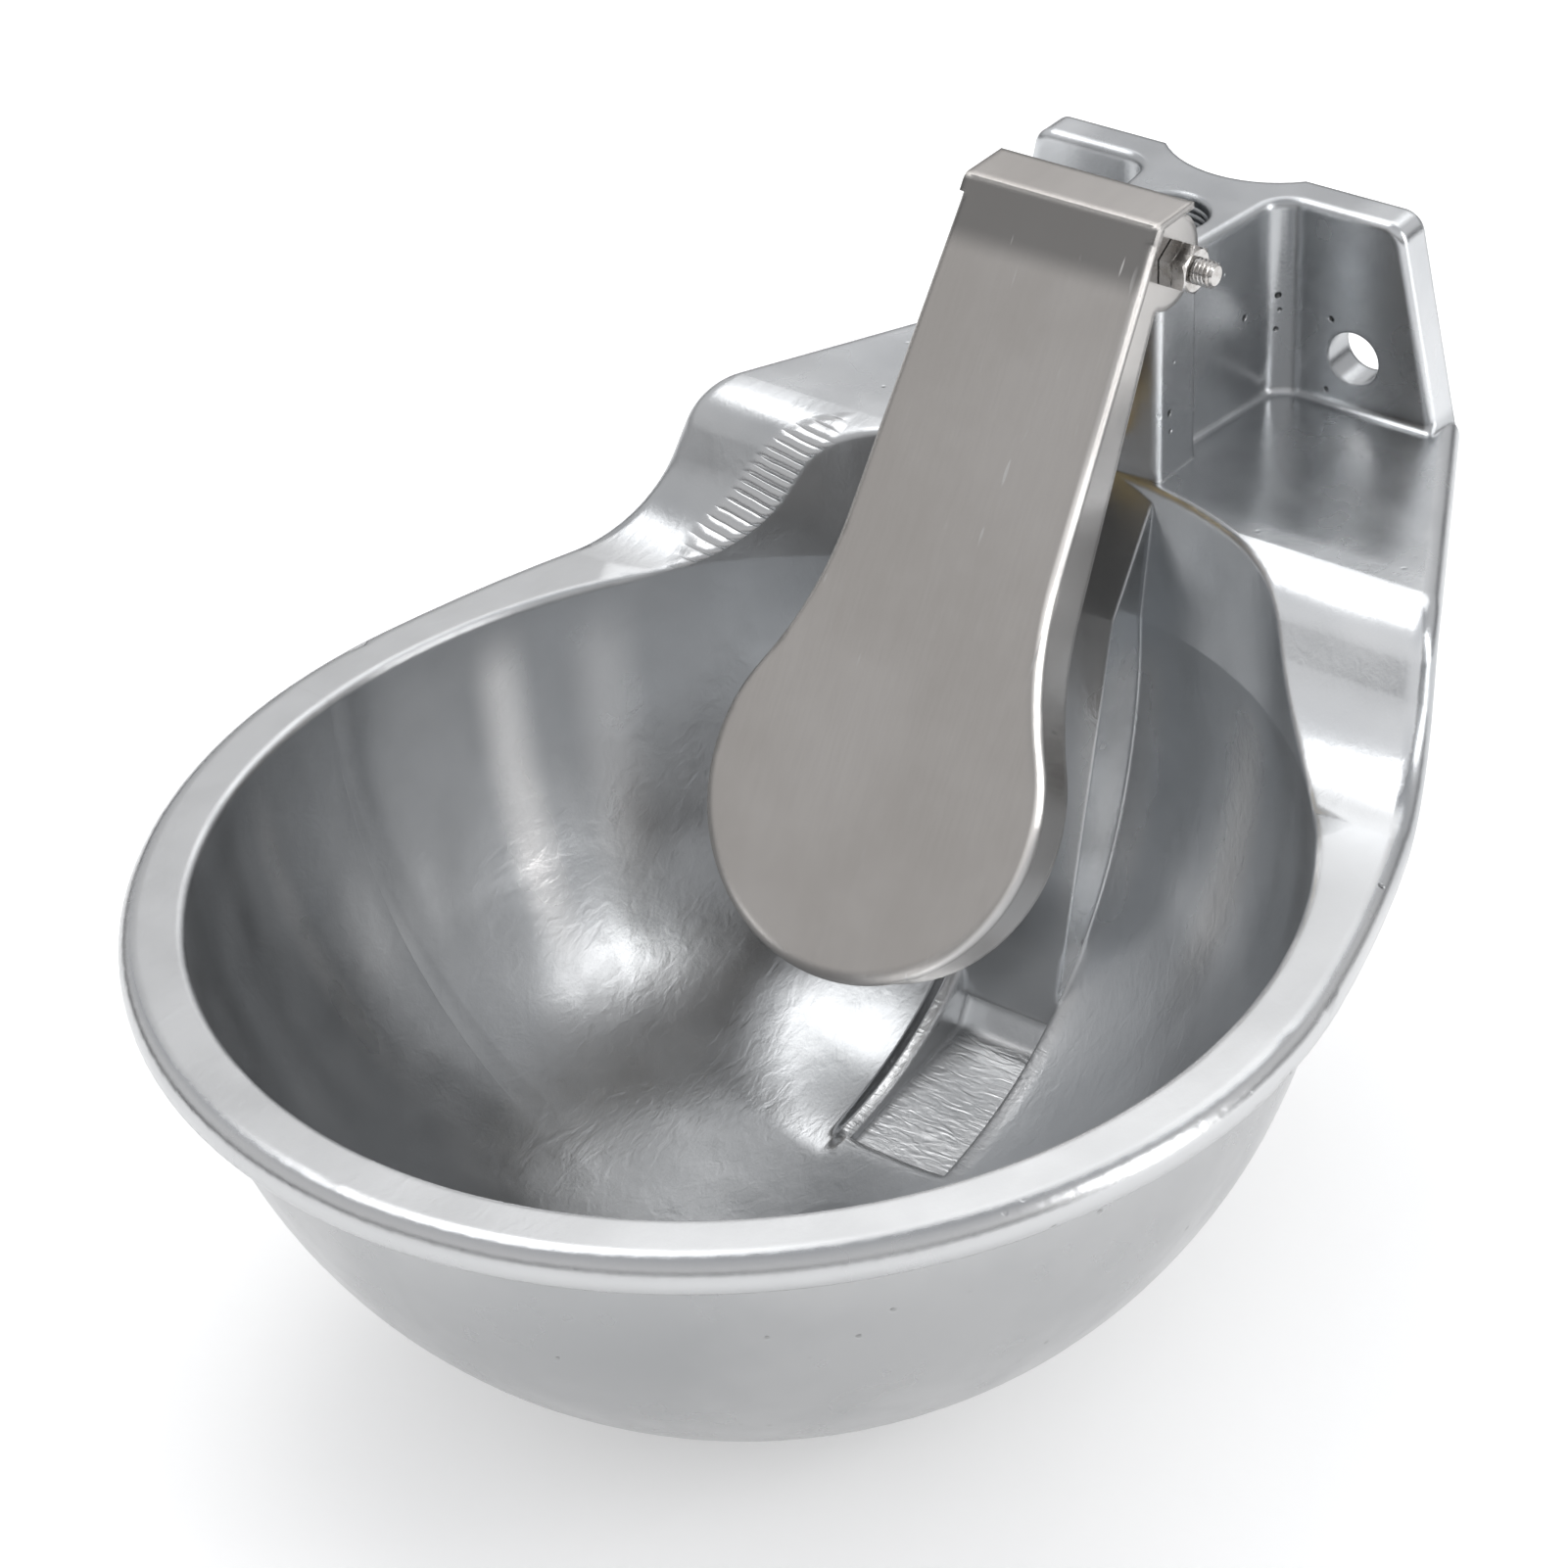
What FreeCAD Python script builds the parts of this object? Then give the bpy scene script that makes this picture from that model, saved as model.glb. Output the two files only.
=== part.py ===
import FreeCAD, Part
import math
import os

# Livestock drinking bowl, cast aluminium, with a tongue-operated water valve.
# Millimetres. +Z is up, +Y points into the wall, the bowl reaches out along -Y.
# The origin is midway between the two wall bolts, on the back face of the wings.

V = FreeCAD.Vector
X = V(1, 0, 0)
Y = V(0, 1, 0)
Z = V(0, 0, 1)
FAR = 400.0

# Heights, measured up from the rim of the bowl
bolt_rise = 45.0
shoulder_rise = 32.0
top_rise = 80.5
pivot_rise = 88.6
valve_rise = 45.0

# Plan of the rim: half an ellipse in front, two arcs on each side, straight to the wall
half_width = 128.0
bowl_reach = 191.0
front_reach = 133.7
bulge_radius = 150.0
bulge_angle = 11.5
side_radius = 400.0
side_angle = 26.5

# Rim and bowl
rim_width = 14.0
rim_height = 9.5
rim_round = 4.2
rim_inner_round = 1.6
bowl_wall = 4.8
bowl_depth = 113.0
floor_thickness = 5.5
floor_angle = 86.0
floor_sections = 9
floor_set_back = 8.0
wall_fullness = 0.88
rear_fullness = 0.62
rear_reach = 126.5
rear_flare = 4.0

# Curved step from the rim up to the shoulder
step_start = 69.0
step_angle = 65.0
step_upper_radius = 15.0
step_lower_radius = 28.0

# Side skirts under the shoulder
skirt_wall = 5.0
shoulder_wall = 6.0
skirt_drop = 30.0

# Wings with the wall bolt holes
wing_thickness = 9.0
wing_half_base = 59.0
wing_half_top = 48.0
wing_corner_round = 5.0
wing_edge_round = 2.0
wing_root_round = 7.0
bolt_spacing = 74.0
bolt_hole = 13.0

# Pipe groove down the back
groove_radius = 26.0
groove_depth = 7.7

# Valve column
column_half = 18.3
column_waist_half = 14.0
column_reach = 60.3
column_waist_reach = 41.0
column_block = 14.0
column_drop = 40.0
column_edge_round = 1.2

# Water inlet, G 1/2, with a step that carries the strainer
inlet_reach = 28.8
inlet_bore = 18.63
inlet_step = 1.6
inlet_step_rise = 15.5
inlet_below_valve = 11.0
inlet_chamfer = 0.8

# Rib inside the bowl and the scour recess at its foot
rib_knee_drop = 27.5
rib_knee_reach = 77.0
rib_foot_drop = 97.0
rib_foot_reach = 95.5
rib_foot_half = 13.0
recess_step = 3.0
recess_heel_drop = 106.5
recess_heel_reach = 96.5
recess_toe_reach = 141.0

# Pivot lug
pivot_reach = 62.5
lug_radius = 9.5
lug_nose_drop = 12.5

# Tongue, pressed from stainless sheet
sheet = 1.5
tongue_lean = 35.0
tongue_stand_off = 14.6
tongue_head = 5.5
tongue_neck_taper = 4.8
tongue_flare_radius = 90.0
tongue_pad_radius = 40.4
tongue_pad_reach = 127.5
tongue_flange = 15.0
tongue_bend = 2.6
face_half_top = 24.6
face_taper = 2.1
face_border = 1.1
face_lip = 3.2
tongue_top_flange = 14.0
tongue_notch = 1.0
ear_radius = 10.8

# Pivot bolt, M6, with a pair of thin nuts
bolt_diameter = 6.0
bolt_head_width = 10.0
bolt_head_height = 4.0
bolt_tip_beyond_nuts = 4.8
bolt_chamfer = 0.8
bevel_angle = 30.0
bevel_face = 0.94
nut_width = 10.0
nut_height = 3.2
washer_outside = 12.0
washer_thickness = 2.2

# Valve
valve_thread = 14.0
valve_thread_length = 19.0
sleeve_step = 0.6
sleeve_length = 12.0
sleeve_wall = 1.1
gasket_thickness = 1.0
hex_width = 16.0
hex_height = 6.0
nose_diameter = 12.0
nose_length = 19.0
nose_guide_length = 5.0
seat_width = 1.5
seat_setback = 10.0
seat_lip = 0.7
port_diameter = 4.5
window_width = 5.0
window_length = 6.0
stem_diameter = 4.5
collar_border = 1.0
collar_length = 1.2
seal_play = 0.4
seal_thickness = 3.0
cup_thickness = 1.6
clip_border = 0.9
clip_groove = 0.5
clip_thickness = 0.8
clip_opening = 3.0
stem_tail = 2.0
spring_wire = 0.8
spring_play = 1.2
spring_coils = 4.5
retainer_thickness = 3.0
retainer_bore = 6.0
strainer_thickness = 1.2
strainer_ledge = 1.0
strainer_space = 0.8
strainer_gap = 1.5
strainer_wall = 1.0
strainer_slot = 1.6

# Clearances
running = 0.1
side_play = 0.2
contact_gap = 0.3
thread_gap = 0.1

# Derived places
rim_z = -bolt_rise
shoulder_z = rim_z + shoulder_rise
top_z = rim_z + top_rise
pivot_z = rim_z + pivot_rise
valve_z = rim_z + valve_rise
bowl_y = -bowl_reach
column_y = -column_reach
pivot_y = -pivot_reach
inlet_y = -inlet_reach
cavity_half = half_width - rim_width
cavity_front = front_reach - rim_width
rim_overhang = rim_width - bowl_wall
step_radii = step_upper_radius + step_lower_radius
step_slope = math.radians(step_angle)
step_ramp = (shoulder_rise - step_radii * (1 - math.cos(step_slope))) / math.tan(step_slope)
step_end = step_start + step_radii * math.sin(step_slope) + step_ramp
PIVOT = V(0, pivot_y, pivot_z)
tongue_half_top = column_half + washer_thickness + side_play + sheet
nut_x = tongue_half_top + side_play
bolt_tip_x = nut_x + 2 * nut_height + bolt_tip_beyond_nuts
inlet_lower_bore = inlet_bore - 2 * inlet_step
inlet_step_z = valve_z + inlet_step_rise

# Valve diameters, each one inside the next
sleeve_diameter = valve_thread - 2 * sleeve_step
sleeve_bore = sleeve_diameter - 2 * sleeve_wall
chamber_bore = sleeve_bore - 2 * seat_width
seal_diameter = sleeve_bore - 2 * seal_play
spring_diameter = sleeve_bore - 2 * spring_play - spring_wire

# Valve stations along Y, from the column's face inward and outward
valve_inner_y = column_y - gasket_thickness + valve_thread_length + gasket_thickness
sleeve_end_y = valve_inner_y + sleeve_length
seat_y = column_y + seat_setback
seal_y = seat_y + seat_lip + running
clip_y = seal_y + seal_thickness + cup_thickness
retainer_y = sleeve_end_y - retainer_thickness
window_y = valve_inner_y + thread_gap

# The stem's round nose stops just short of the back of the tongue
lean = math.radians(tongue_lean)
tongue_back = tongue_stand_off - sheet + (pivot_z - valve_z) * math.sin(lean)
stem_radius = stem_diameter / 2
stem_nose_y = pivot_y - (tongue_back - stem_radius - contact_gap) / math.cos(lean)


def polygon(points):
    return Part.makePolygon(points + points[:1])


def prism(wire, along):
    return Part.Face(wire).extrude(along)


def across(outline, half):
    """Solid from an outline in the Y-Z plane, symmetric about the middle."""
    return prism(polygon([V(-half, y, z) for y, z in outline]), X * 2 * half)


def rod(diameter, start, end):
    """Round bar along Y on the valve axis, between two Y values."""
    low = min(start, end)
    return Part.makeCylinder(diameter / 2, abs(end - start), V(0, low, valve_z), Y)


def hexagon(width, centre, axis, height):
    radius = width / math.sqrt(3)
    side = V(0, 0, 1) if abs(axis.z) < 0.5 else V(1, 0, 0)
    across_axis = axis.cross(side)
    corners = []
    for i in range(6):
        angle = math.radians(60 * i)
        corners.append(centre + side * radius * math.cos(angle) + across_axis * radius * math.sin(angle))
    return prism(polygon(corners), axis * height)


def chamfered_hexagon(width, centre, axis, height):
    """Hexagon whose corners are turned down by a cone at its outer face."""
    corner_radius = width / math.sqrt(3)
    face_radius = bevel_face * width / 2
    bevel = (corner_radius - face_radius) * math.tan(math.radians(bevel_angle))
    turned = Part.makeCylinder(corner_radius, height - bevel, centre, axis)
    shoulder = centre + axis * (height - bevel)
    turned = turned.fuse(Part.makeCone(corner_radius, face_radius, bevel, shoulder, axis))
    return hexagon(width, centre, axis, height).common(turned)


def quarter(start, corner, end):
    """Exact quarter of an ellipse, as a rational curve."""
    curve = Part.BezierCurve()
    curve.setPoles([start, corner, end])
    curve.setWeight(2, math.sqrt(0.5))
    return curve.toShape()


def egg(half, front, back, centre_y, z):
    """Oval of four quarter ellipses."""
    right = V(half, centre_y, z)
    rear = V(0, centre_y + back, z)
    left = V(-half, centre_y, z)
    nose = V(0, centre_y - front, z)
    return Part.Wire([
        quarter(right, V(half, rear.y, z), rear),
        quarter(rear, V(-half, rear.y, z), left),
        quarter(left, V(-half, nose.y, z), nose),
        quarter(nose, V(half, nose.y, z), right),
    ])


def bowl_shape(grow, floor):
    """The bowl's inner form, set back as it deepens, grown outward by a wall and downward by a floor."""
    half = cavity_half + grow
    front = cavity_front + grow
    back = rear_reach + grow
    depth = (bowl_depth + floor) / math.sin(math.radians(floor_angle))
    sections = []
    for i in range(floor_sections):
        angle = math.radians(floor_angle) * i / (floor_sections - 1)
        shrink = math.cos(angle) ** wall_fullness
        rear_shrink = math.cos(angle) ** rear_fullness
        drop = depth * math.sin(angle)
        centre_y = bowl_y + floor_set_back * drop / bowl_depth
        sections.append(egg(half * shrink, front * shrink, back * rear_shrink, centre_y, rim_z - drop))
    lower = Part.makeLoft(sections, True, False)
    rim = egg(half, front, back, bowl_y, rim_z)
    high = egg(half, front, back + 2 * rear_flare, bowl_y, rim_z + 2 * shoulder_rise)
    return lower.fuse(Part.makeLoft([rim, high], True, True))


def sweep(start, radius, first, last):
    """Start, middle and end of an arc whose outward direction turns from one angle to another."""
    points = []
    for degrees in (first, (first + last) / 2, last):
        angle = math.radians(degrees)
        turn = V(math.cos(angle), math.sin(angle), 0)
        origin = V(math.cos(math.radians(first)), math.sin(math.radians(first)), 0)
        points.append(start + (turn - origin) * radius)
    return points


def mirrored(points):
    return [V(-p.x, p.y, p.z) for p in reversed(points)]


def plan(inset, back, z):
    """Outline of the rim seen from above, pulled in by an inset."""
    widest = V(half_width - inset, bowl_y, z)
    nose = V(0, bowl_y - front_reach + inset, z)
    bulge = sweep(widest, bulge_radius - inset, 0, bulge_angle)
    side = sweep(bulge[-1], side_radius - inset, bulge_angle, side_angle)
    join = side[-1]
    corner = V(join.x - (back - join.y) * math.tan(math.radians(side_angle)), back, z)
    straight = [join, corner]
    return Part.Wire([
        Part.Arc(*bulge).toShape(),
        Part.Arc(*side).toShape(),
        Part.makeLine(*straight),
        Part.makeLine(corner, mirrored(straight)[0]),
        Part.makeLine(*mirrored(straight)),
        Part.Arc(*mirrored(side)).toShape(),
        Part.Arc(*mirrored(bulge)).toShape(),
        quarter(V(-widest.x, bowl_y, z), V(-widest.x, nose.y, z), nose),
        quarter(nose, V(widest.x, nose.y, z), widest),
    ])


def under_step(depth):
    """Everything below the rim, step and shoulder, lowered by a depth square to the surface."""
    angle = step_slope
    upper = step_upper_radius - depth
    lower = step_lower_radius + depth
    upper_centre = V(-FAR, -step_start, shoulder_z - step_upper_radius)
    lower_centre = V(-FAR, -step_end, rim_z + step_lower_radius)

    def on(centre, radius, turn, sign):
        return centre + V(0, -sign * radius * math.sin(turn), sign * radius * math.cos(turn))

    top = on(upper_centre, upper, 0, 1)
    top_mid = on(upper_centre, upper, angle / 2, 1)
    top_end = on(upper_centre, upper, angle, 1)
    low_end = on(lower_centre, lower, angle, -1)
    low_mid = on(lower_centre, lower, angle / 2, -1)
    low = on(lower_centre, lower, 0, -1)
    behind = V(-FAR, FAR, top.z)
    ahead = V(-FAR, -FAR, low.z)
    wire = Part.Wire([
        Part.makeLine(behind, top),
        Part.Arc(top, top_mid, top_end).toShape(),
        Part.makeLine(top_end, low_end),
        Part.Arc(low_end, low_mid, low).toShape(),
        Part.makeLine(low, ahead),
        Part.makeLine(ahead, V(-FAR, -FAR, -FAR)),
        Part.makeLine(V(-FAR, -FAR, -FAR), V(-FAR, FAR, -FAR)),
        Part.makeLine(V(-FAR, FAR, -FAR), behind),
    ])
    return prism(wire, X * 2 * FAR)


def rim_and_shoulder():
    """Flat rim, curved step and shoulder as one bent plate with rounded outer edges."""
    block = prism(plan(0, 0, -FAR), Z * 2 * FAR)
    return block.common(under_step(0)).cut(under_step(rim_height))


def skirts():
    """Side walls under the shoulder, deep at the wall and fading out along the bowl."""
    block = prism(plan(rim_overhang, 0, -FAR), Z * 2 * FAR).common(under_step(rim_height / 2))
    deep = rim_z - skirt_drop
    shallow = rim_z - rim_height / 2
    fade = [(FAR, deep), (0, deep), (bowl_y, shallow), (-FAR, shallow), (-FAR, -2 * FAR), (FAR, -2 * FAR)]
    block = block.cut(across(fade, FAR))
    hollow = prism(plan(rim_overhang + skirt_wall, skirt_wall, -FAR), Z * 2 * FAR)
    return block.cut(hollow.common(under_step(shoulder_wall)))


def column_plan(z):
    """Valve column seen from above: a waist behind a square front block."""
    block_back = -(column_reach - column_block)
    right = [V(column_half, 0, z), V(column_waist_half, -column_waist_reach, z),
             V(column_half, block_back, z), V(column_half, column_y, z)]
    return polygon(right + mirrored(right))


def rib_taper():
    """Wedge, seen from the front, that narrows the rib from the shoulder down to its foot."""
    right = [V(column_half, -FAR, top_z), V(column_half, -FAR, shoulder_z),
             V(rib_foot_half, -FAR, rim_z - rib_foot_drop), V(rib_foot_half, -FAR, -FAR)]
    return prism(polygon(right + mirrored(right)), Y * FAR)


def column():
    """Column with rounded front corners, and the rib and lug in one with it."""
    low = rim_z - column_drop
    body = prism(column_plan(low), Z * (top_z - low))
    corners = [edge for edge in body.Edges
               if abs(edge_direction(edge).z) > 0.99 and edge_middle(edge).y < column_y + 0.1]
    body = body.makeFillet(column_edge_round, corners)
    rib = [(column_y, shoulder_z), (-rib_knee_reach, shoulder_z - rib_knee_drop),
           (-rib_foot_reach, rim_z - rib_foot_drop), (-rib_foot_reach + column_block, rim_z - rib_foot_drop),
           (-inlet_reach, rim_z - column_drop), (-inlet_reach, shoulder_z)]
    body = body.fuse(across(rib, column_half).common(rib_taper()))
    return body.fuse(lug())


def lug():
    """Hinge nose above the column's front block."""
    top = V(-column_half, pivot_y, pivot_z + lug_radius)
    front = V(-column_half, pivot_y - lug_radius, pivot_z)
    back = V(-column_half, pivot_y + lug_radius, pivot_z)
    heel = V(-column_half, column_y + column_block, top_z)
    foot = V(-column_half, column_y + column_block, top_z - lug_nose_drop)
    chin = V(-column_half, column_y, pivot_z - lug_nose_drop)
    wire = Part.Wire([
        Part.Arc(front, top, back).toShape(),
        Part.makeLine(back, heel),
        Part.makeLine(heel, foot),
        Part.makeLine(foot, chin),
        Part.makeLine(chin, front),
    ])
    return prism(wire, X * 2 * column_half)


def wings():
    """Two wall plates in one piece, tapered towards the top, with rounded upper corners."""
    low = shoulder_z - shoulder_wall / 2
    outline = [V(-wing_half_base, 0, low), V(wing_half_base, 0, low),
               V(wing_half_top, 0, top_z), V(-wing_half_top, 0, top_z)]
    plate = prism(polygon(outline), -Y * wing_thickness)
    corners = [edge for edge in plate.Edges if abs(edge_direction(edge).y) > 0.9 and edge_middle(edge).z > 0]
    return plate.makeFillet(wing_corner_round, corners)


def recess():
    """Pocket in front of the rib, its floor a ramp that runs out onto the bowl floor."""
    foot = rim_z - rib_foot_drop
    knee = shoulder_z - rib_knee_drop
    outline = [(-rib_knee_reach, knee),
               (-rib_foot_reach, foot),
               (-rib_foot_reach + recess_step, foot - recess_step),
               (-recess_heel_reach, rim_z - recess_heel_drop),
               (-recess_toe_reach, rim_z - bowl_depth),
               (-recess_toe_reach, knee)]
    return across(outline, column_half).common(rib_taper())


def heel():
    """Spine down the back of the bowl that carries the column and encloses the recess."""
    wall = bowl_wall
    outline = [(-inlet_reach, rim_z),
               (-inlet_reach, rim_z - column_drop),
               (-rib_foot_reach + recess_step + wall, rim_z - rib_foot_drop - recess_step),
               (-recess_heel_reach + wall, rim_z - recess_heel_drop - wall),
               (-recess_toe_reach, rim_z - bowl_depth - wall),
               (-recess_toe_reach, rim_z)]
    return across(outline, rib_foot_half + 2 * wall)


def edge_middle(edge):
    return edge.valueAt((edge.FirstParameter + edge.LastParameter) / 2)


def edge_direction(edge):
    return edge.tangentAt((edge.FirstParameter + edge.LastParameter) / 2)


def rounded_rim():
    """Bent plate with the outer edge of rim, step and shoulder rolled over."""
    plate = rim_and_shoulder()
    edges = []
    for edge in plate.Edges:
        direction = edge_direction(edge)
        crosswise = abs(direction.x) > 0.999 and abs(edge_middle(edge).y) < bowl_reach
        upright = abs(direction.z) > 0.999
        if not crosswise and not upright:
            edges.append(edge)
    return plate.makeFillet(rim_round, edges)


def soften_bowl_edge(body):
    """Small radius where the flat rim, the step and the shoulder turn down into the bowl."""
    edges = []
    for edge in body.Edges:
        middle = edge_middle(edge)
        back = rear_reach + rear_flare * (middle.z - rim_z) / shoulder_rise
        along = (middle.y - bowl_y) / (back if middle.y > bowl_y else cavity_front)
        on_egg = abs(math.hypot(middle.x / cavity_half, along) - 1) < 0.002
        seam = abs(middle.x) < 0.1
        inside = abs(middle.z - rim_z) < 0.01 and middle.y > -step_end
        if on_egg and middle.z > rim_z - 0.01 and not seam and not inside:
            edges.append(edge)
    return body.makeFillet(rim_inner_round, edges)


def round_wings(body):
    """Wide hollow corners between column and wings, then the wings' front edges and their foot."""
    roots = []
    for edge in body.Edges:
        middle = edge_middle(edge)
        on_wing = abs(middle.y + wing_thickness) < 0.01 and abs(middle.x) < column_half
        if on_wing and middle.z > shoulder_z and abs(edge_direction(edge).z) > 0.9:
            roots.append(edge)
    body = body.makeFillet(wing_root_round, roots)
    fronts = []
    for edge in body.Edges:
        middle = edge_middle(edge)
        ahead = -wing_thickness - middle.y
        outer = abs(ahead) < 0.01 and abs(middle.x) > column_half + wing_root_round
        crown = 0.01 < ahead < wing_root_round and abs(middle.x) > column_waist_half
        if (outer and middle.z > shoulder_z - 0.01) or (crown and abs(middle.z - top_z) < 0.01):
            fronts.append(edge)
    return body.makeFillet(wing_edge_round, fronts)


def casting():
    body = rounded_rim()
    body = body.fuse(skirts())
    body = body.fuse(bowl_shape(bowl_wall, floor_thickness).common(under_step(rim_height / 2)))
    body = body.fuse(heel())
    body = body.cut(bowl_shape(0, 0)).removeSplitter()
    body = soften_bowl_edge(body)
    body = body.fuse(column()).fuse(wings()).removeSplitter()
    body = round_wings(body)
    body = body.cut(recess())
    for x in (-bolt_spacing / 2, bolt_spacing / 2):
        body = body.cut(Part.makeCylinder(bolt_hole / 2, FAR, V(x, -2 * wing_thickness, 0), Y))
    body = body.cut(Part.makeCylinder(groove_radius, 2 * FAR, V(0, groove_radius - groove_depth, -FAR), Z))
    body = body.cut(inlet()).cut(valve_seat_bore())
    pivot_hole = Part.makeCylinder(bolt_diameter / 2 + running, 2 * FAR, PIVOT - X * FAR, X)
    return body.cut(pivot_hole).removeSplitter()


def inlet():
    """Vertical water inlet: countersink, thread, seat for the strainer and the chamber round the valve."""
    foot = valve_z - inlet_below_valve
    radius = inlet_bore / 2
    thread = Part.makeCylinder(radius, FAR, V(0, inlet_y, inlet_step_z), Z)
    seat_z = inlet_step_z - strainer_thickness
    seat = Part.makeCylinder(inlet_lower_bore / 2 + strainer_ledge, FAR, V(0, inlet_y, seat_z), Z)
    chamber = Part.makeCylinder(inlet_lower_bore / 2, FAR, V(0, inlet_y, foot), Z)
    mouth_z = top_z - inlet_chamfer
    mouth = Part.makeCone(radius, radius + inlet_chamfer, inlet_chamfer, V(0, inlet_y, mouth_z), Z)
    return thread.fuse([seat, chamber, mouth])


def valve_seat_bore():
    """Horizontal hole that takes the valve, from the column's face into the inlet."""
    threaded = rod(valve_thread + 2 * thread_gap, column_y - column_block, valve_inner_y)
    inner = rod(sleeve_diameter + 2 * thread_gap, valve_inner_y, sleeve_end_y + thread_gap)
    return threaded.fuse(inner)


def tongue_outline(half_top, waist_drop, neck_taper, inset, head, y):
    """Parallel sides at the top, then a tapered neck that flares into a round pad, seen from the front."""
    taper = math.radians(neck_taper)
    along = V(math.sin(taper), 0, -math.cos(taper))
    outward = V(math.cos(taper), 0, math.sin(taper))
    top = V(half_top - inset, y, pivot_z + tongue_head + head)
    waist = V(top.x, y, pivot_z - waist_drop)
    pad = V(0, y, pivot_z - tongue_pad_reach)
    pad_radius = tongue_pad_radius - inset
    flare = tongue_flare_radius + inset
    offset = waist - pad + outward * flare
    half = offset.dot(along)
    reach = -half - math.sqrt(half ** 2 - offset.dot(offset) + (pad_radius + flare) ** 2)
    neck = waist + along * reach
    centre = neck + outward * flare
    join = centre + (pad - centre) * (flare / (flare + pad_radius))
    bow = ((neck + join) / 2 - centre).normalize()
    bend = [neck, centre + bow * flare, join]
    foot = V(0, y, pad.z - pad_radius)
    return Part.Wire([
        Part.makeLine(top, waist),
        Part.makeLine(waist, neck),
        Part.Arc(*bend).toShape(),
        Part.Arc(join, foot, mirrored([join])[0]).toShape(),
        Part.Arc(*mirrored(bend)).toShape(),
        Part.makeLine(*mirrored([waist, neck])),
        Part.makeLine(*mirrored([top, waist])),
        Part.makeLine(mirrored([top])[0], top),
    ])


def front_edges(shape, y, below):
    return [edge for edge in shape.Edges
            if abs(edge.BoundBox.YMax - y) < 0.01 and abs(edge.BoundBox.YMin - y) < 0.01
            and edge_middle(edge).z < below - 0.01]


def pan_outline(inset, head, y):
    return tongue_outline(tongue_half_top, ear_radius + tongue_notch, tongue_neck_taper, inset, head, y)


def tongue():
    """Pan with a turned-back flange and two round ears, under a face that stands out all round it."""
    face_y = pivot_y - tongue_stand_off
    top = pivot_z + tongue_head
    outline = tongue_outline(face_half_top - face_border, 0, face_taper, -face_border, 0, face_y)
    face = prism(outline, Y * face_lip)
    face = face.makeFillet(tongue_bend, front_edges(face, face_y, top))
    outer = prism(pan_outline(0, 0, face_y + tongue_bend), Y * (tongue_flange - tongue_bend))
    inner_y = face_y + sheet
    inner = prism(pan_outline(sheet, tongue_flange, inner_y), Y * FAR / 10)
    inner = inner.makeFillet(tongue_bend - sheet, front_edges(inner, inner_y, top + tongue_flange))
    pan = face.fuse(outer).cut(inner)
    pan = pan.fuse(top_fold(face_y, top))
    for side in (-1, 1):
        pan = pan.fuse(ear(side, face_y, top))
    hole = Part.makeCylinder(bolt_diameter / 2 + running, 2 * FAR, PIVOT - X * FAR, X)
    pan = pan.cut(hole)
    pan.rotate(PIVOT, X, -tongue_lean)
    return pan


def top_fold(face_y, top):
    """Sheet bent back over the pivot, level when the tongue hangs at rest."""
    back = V(0, math.cos(lean), math.sin(lean))
    down = V(0, math.sin(lean), -math.cos(lean))
    half = face_half_top
    corner = V(-half, face_y, top)
    turn = math.radians(90 - tongue_lean)
    reach = tongue_bend * math.tan(turn / 2)
    start = corner - Z * reach
    end = corner + back * reach
    centre = start + Y * tongue_bend
    bow = (corner - centre).normalize()
    inner = tongue_bend - sheet
    tip = corner + back * tongue_top_flange
    foot = corner - Z * (reach + tongue_bend)
    wire = Part.Wire([
        Part.makeLine(foot, start),
        Part.Arc(start, centre + bow * tongue_bend, end).toShape(),
        Part.makeLine(end, tip),
        Part.makeLine(tip, tip + down * sheet),
        Part.makeLine(tip + down * sheet, end + down * sheet),
        Part.Arc(end + down * sheet, centre + bow * inner, start + Y * sheet).toShape(),
        Part.makeLine(start + Y * sheet, foot + Y * sheet),
        Part.makeLine(foot + Y * sheet, foot),
    ])
    return prism(wire, X * 2 * half)


def ear(side, face_y, top):
    """Round ear on the side flange, with the web that ties it in under the top fold."""
    outside = tongue_half_top
    x = outside - sheet if side > 0 else -outside
    disc = Part.makeCylinder(ear_radius, sheet, V(x, pivot_y, pivot_z), X)
    back = V(0, math.cos(lean), math.sin(lean))
    down = V(0, math.sin(lean), -math.cos(lean))
    start = V(x, face_y, top) + back * tongue_bend + down * (sheet + tongue_notch)
    far = start + back * (tongue_top_flange - tongue_bend - ear_radius / 2)
    web = [start, far, V(x, pivot_y, pivot_z), V(x, face_y + tongue_flange, pivot_z - ear_radius),
           V(x, face_y + tongue_bend, pivot_z - ear_radius), V(x, face_y + tongue_bend, top - tongue_bend)]
    return disc.fuse(prism(polygon(web), X * sheet))


def pivot_bolt():
    """Hex head bolt through both ears and the lug, head on the left."""
    head_face = -(tongue_half_top + side_play)
    length = bolt_tip_x - head_face
    shank = Part.makeCylinder(bolt_diameter / 2, length - bolt_chamfer, V(head_face, pivot_y, pivot_z), X)
    tip = Part.makeCone(bolt_diameter / 2, bolt_diameter / 2 - bolt_chamfer, bolt_chamfer,
                        V(bolt_tip_x - bolt_chamfer, pivot_y, pivot_z), X)
    head = chamfered_hexagon(bolt_head_width, V(head_face, pivot_y, pivot_z), -X, bolt_head_height)
    return shank.fuse(tip).fuse(head).removeSplitter()


def nut(x):
    """Thin hex nut, bevelled on its outer face."""
    blank = chamfered_hexagon(nut_width, V(x, pivot_y, pivot_z), X, nut_height)
    return blank.cut(Part.makeCylinder(bolt_diameter / 2, FAR, V(x - FAR / 2, pivot_y, pivot_z), X))


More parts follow.
